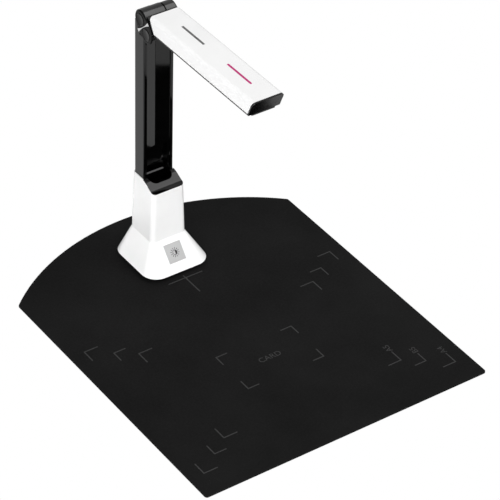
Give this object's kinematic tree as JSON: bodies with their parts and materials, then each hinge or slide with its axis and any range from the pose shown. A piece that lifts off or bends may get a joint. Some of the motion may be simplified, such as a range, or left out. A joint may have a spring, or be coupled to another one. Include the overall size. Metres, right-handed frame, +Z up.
{
  "type": "book scanner",
  "caption": "Desk book scanner: camera head on a double friction hinge, slim column on a flared foot, standing on a flat page mat with paper-size marks.",
  "frame": {"origin": "centre of the mat's underside, on the table", "axes": "+X to the reader's right, -Y towards the reader, +Z up"},
  "size_m": [0.33, 0.4, 0.299],
  "materials": {
    "mat_sheet": "matt black mat sheet with grey printed corner marks",
    "white_shell": "glossy white moulded plastic",
    "black_gloss": "high-gloss black plastic",
    "black_matte": "fine-textured satin black plastic",
    "rubber": "soft black rubber",
    "grey_key": "satin light grey plastic with a printed lamp sign",
    "silver": "bright silver plating",
    "steel": "plated steel",
    "black_metal": "satin black painted casting",
    "weight_iron": "painted cast iron",
    "bronze": "sintered bronze",
    "circuit_board": "green solder mask",
    "chip_black": "moulded chip case",
    "lens_glass": "coated lens glass",
    "lamp_frost": "frosted lamp window",
    "slot_grey": "smoke grey insert",
    "ribbon_white": "flat ribbon cable"
  },
  "bodies": {
    "stand": {"scan_mat": "mat_sheet", "base_shell": "white_shell", "base_plate": "black_matte", "rubber_feet": "rubber", "base_screws": "steel", "counterweight": "weight_iron", "key_switch": "black_matte", "key_board": "circuit_board", "bezel_tray": "black_gloss", "usb_socket": "silver", "base_board": "circuit_board", "board_spacers": "steel", "column_rear_shell": "black_gloss", "column_front_panel": "black_gloss", "column_rail": "steel", "rail_screws": "steel", "column_screws": "steel", "column_knuckle": "black_metal", "knuckle_screws": "steel", "knuckle_bush": "bronze", "column_cable": "rubber"},
    "key": {"lamp_key": "grey_key"},
    "link": {"hinge_link_left": "black_matte", "hinge_link_right": "black_matte", "silver_trim_left": "silver", "silver_trim_right": "silver", "pivot_caps": "black_matte", "upper_shaft": "steel", "shaft_nut": "steel", "friction_washers": "steel", "lower_pins": "steel"},
    "head": {"head_shell": "white_shell", "head_floor": "black_matte", "head_front_cap": "black_gloss", "head_neck": "black_matte", "ear_bushes": "bronze", "lens_pod": "black_matte", "lens_barrel": "black_matte", "lens_glass": "lens_glass", "camera_board": "circuit_board", "image_sensor": "chip_black", "lens_holder": "black_matte", "lamp_window": "lamp_frost", "lamp_board": "circuit_board", "lamp_leds": "lamp_frost", "slot_insert": "slot_grey", "main_board": "circuit_board", "main_chip": "chip_black", "board_screws": "steel", "head_screws": "steel", "head_cable": "ribbon_white"}
  },
  "joints": [
    {"name": "lamp_key_press", "type": "slide", "parent": "stand", "child": "key", "axis": [0, 0.7572, -0.6531], "range_m": [0, 0.0006], "stiffness_N_per_m": 900, "springref_m": -0.001},
    {"name": "link_tilt", "type": "hinge", "parent": "stand", "child": "link", "pos_m": [0, 0.138, 0.2887], "axis": [1, 0, 0], "range_deg": [-90, 41.69]},
    {"name": "head_tilt", "type": "hinge", "parent": "link", "child": "head", "pos_m": [0, 0.1274, 0.2768], "axis": [1, 0, 0], "range_deg": [0, 48.31]}
  ]
}
